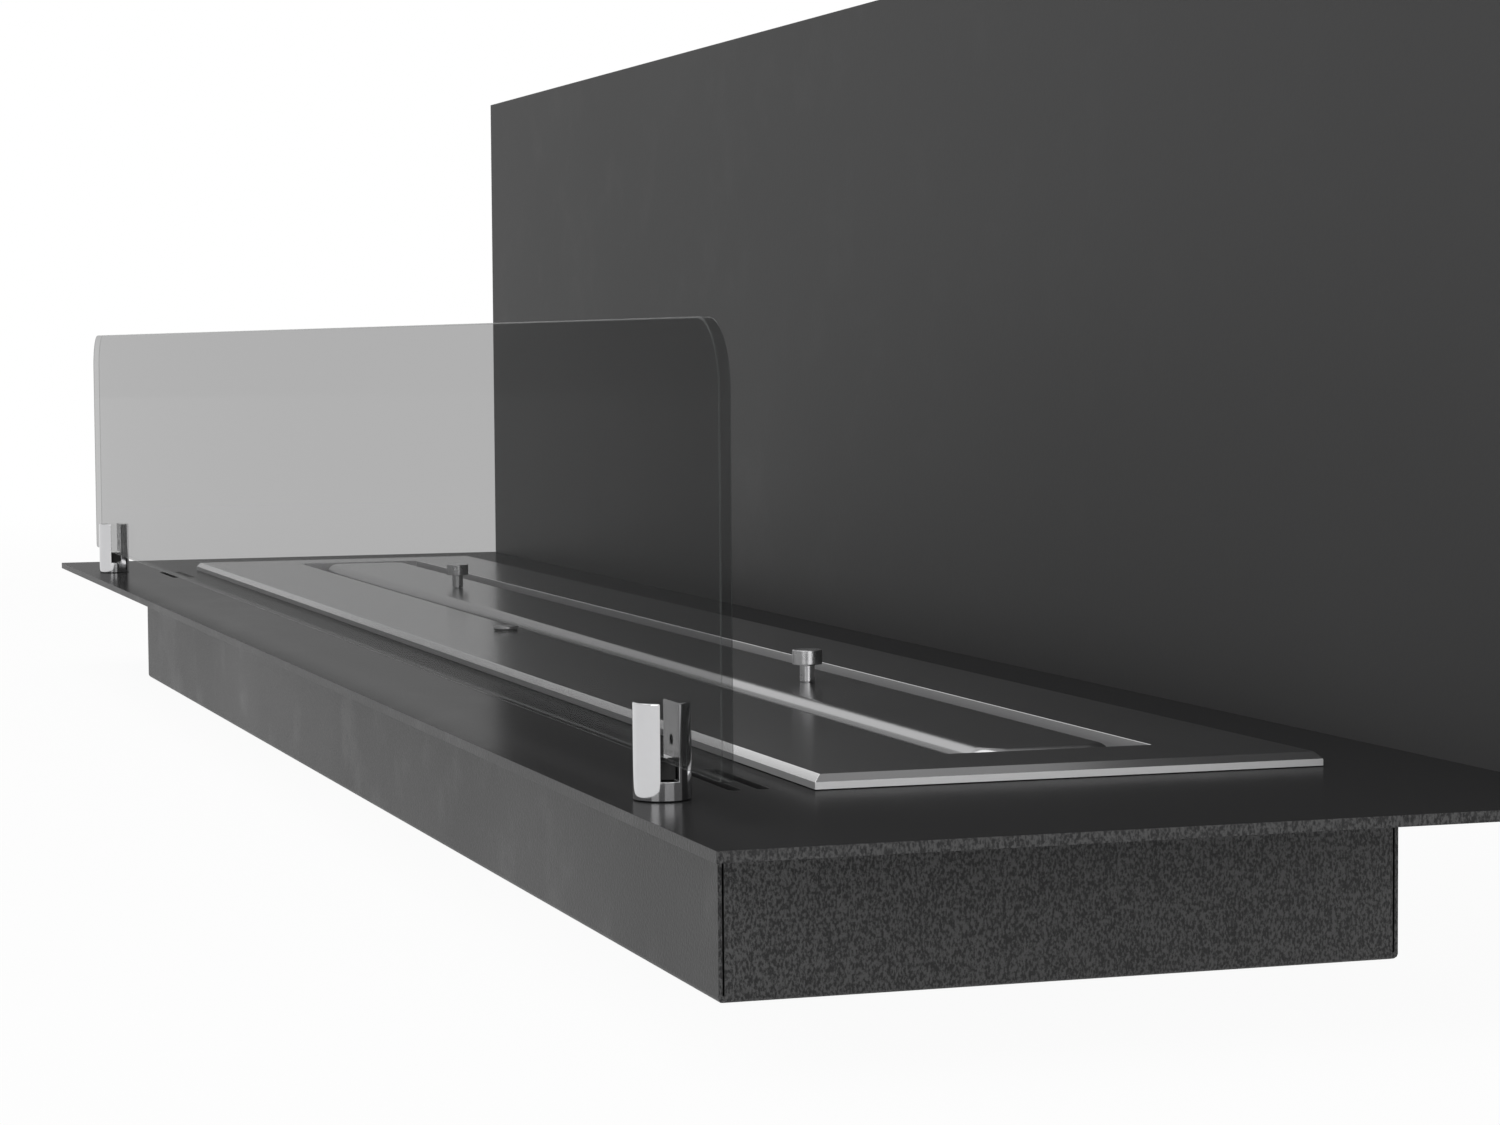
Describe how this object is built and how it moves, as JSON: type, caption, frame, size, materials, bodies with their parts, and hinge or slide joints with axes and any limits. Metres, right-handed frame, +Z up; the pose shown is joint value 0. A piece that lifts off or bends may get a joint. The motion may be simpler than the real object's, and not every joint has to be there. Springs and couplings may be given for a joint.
{
  "type": "bio-ethanol fireplace",
  "caption": "Long black built-in fireplace tray with a steel slot burner, a lift-off lid, a tall back panel and a low glass screen held in slotted posts.",
  "frame": {"origin": "middle of the whole object's footprint, at the casing's underside", "axes": "+X along the fireplace, to the right for someone who faces its open front; +Y from the front to the back panel; +Z up"},
  "size_m": [1.5, 0.317, 0.384],
  "materials": {
    "black_powder_coat": "fine-textured satin black powder coat",
    "black_hammered_coat": "textured matt black powder coat",
    "brushed_steel": "satin brushed stainless steel",
    "chrome": "polished chrome",
    "zinc": "bright zinc plate",
    "smoked_glass": "lightly smoked toughened glass",
    "rubber": "matt",
    "ceramic_wool": "matt fibrous"
  },
  "bodies": {
    "frame": {"top_plate": "black_powder_coat", "casing_tray": "black_hammered_coat", "back_panel": "black_powder_coat", "casing_nut_front_1": "zinc", "casing_nut_front_2": "zinc", "casing_nut_front_3": "zinc", "casing_nut_back_1": "zinc", "casing_nut_back_2": "zinc", "casing_nut_back_3": "zinc", "panel_nut_1": "zinc", "panel_nut_2": "zinc", "panel_nut_3": "zinc", "panel_nut_4": "zinc", "panel_nut_5": "zinc", "post_left": "chrome", "post_bolt_left": "zinc", "glass_pad_left": "rubber", "post_right": "chrome", "post_bolt_right": "zinc", "glass_pad_right": "rubber"},
    "burner": {"burner_top": "brushed_steel", "fire_slot_plate": "brushed_steel", "slot_wall_front": "brushed_steel", "slot_wall_back": "brushed_steel", "slot_wall_left": "brushed_steel", "slot_wall_right": "brushed_steel", "tank_floor": "brushed_steel", "tank_wall_front": "brushed_steel", "tank_wall_back": "brushed_steel", "tank_wall_left": "brushed_steel", "tank_wall_right": "brushed_steel", "wick_1": "ceramic_wool", "wick_2": "ceramic_wool", "wick_3": "ceramic_wool"},
    "lid": {"burner_lid": "brushed_steel", "lid_edge_front": "brushed_steel", "lid_edge_back": "brushed_steel", "lid_end_left": "brushed_steel", "lid_end_right": "brushed_steel", "knob_left": "brushed_steel", "knob_right": "brushed_steel", "knob_nut_left": "zinc", "knob_nut_right": "zinc"},
    "filler": {"filler_plug": "brushed_steel", "filler_seal": "rubber"},
    "glass": {"glass_pane": "smoked_glass"},
    "set_screw_left": {"set_screw_left": "zinc"},
    "set_screw_right": {"set_screw_right": "zinc"}
  },
  "joints": [
    {"name": "burner_lift", "type": "slide", "parent": "frame", "child": "burner", "axis": [0, 0, 1], "range_m": [0, 0.08]},
    {"name": "lid_lift", "type": "slide", "parent": "burner", "child": "lid", "axis": [0, 0, 1], "range_m": [0, 0.05]},
    {"name": "filler_plug_lift", "type": "slide", "parent": "burner", "child": "filler", "axis": [0, 0, 1], "range_m": [0, 0.02]},
    {"name": "glass_lift", "type": "slide", "parent": "frame", "child": "glass", "axis": [0, 0, 1], "range_m": [0, 0.03]},
    {"name": "set_screw_left_travel", "type": "slide", "parent": "frame", "child": "set_screw_left", "axis": [0, -1, 0], "range_m": [0, 0.002]},
    {"name": "set_screw_right_travel", "type": "slide", "parent": "frame", "child": "set_screw_right", "axis": [0, -1, 0], "range_m": [0, 0.002]}
  ]
}
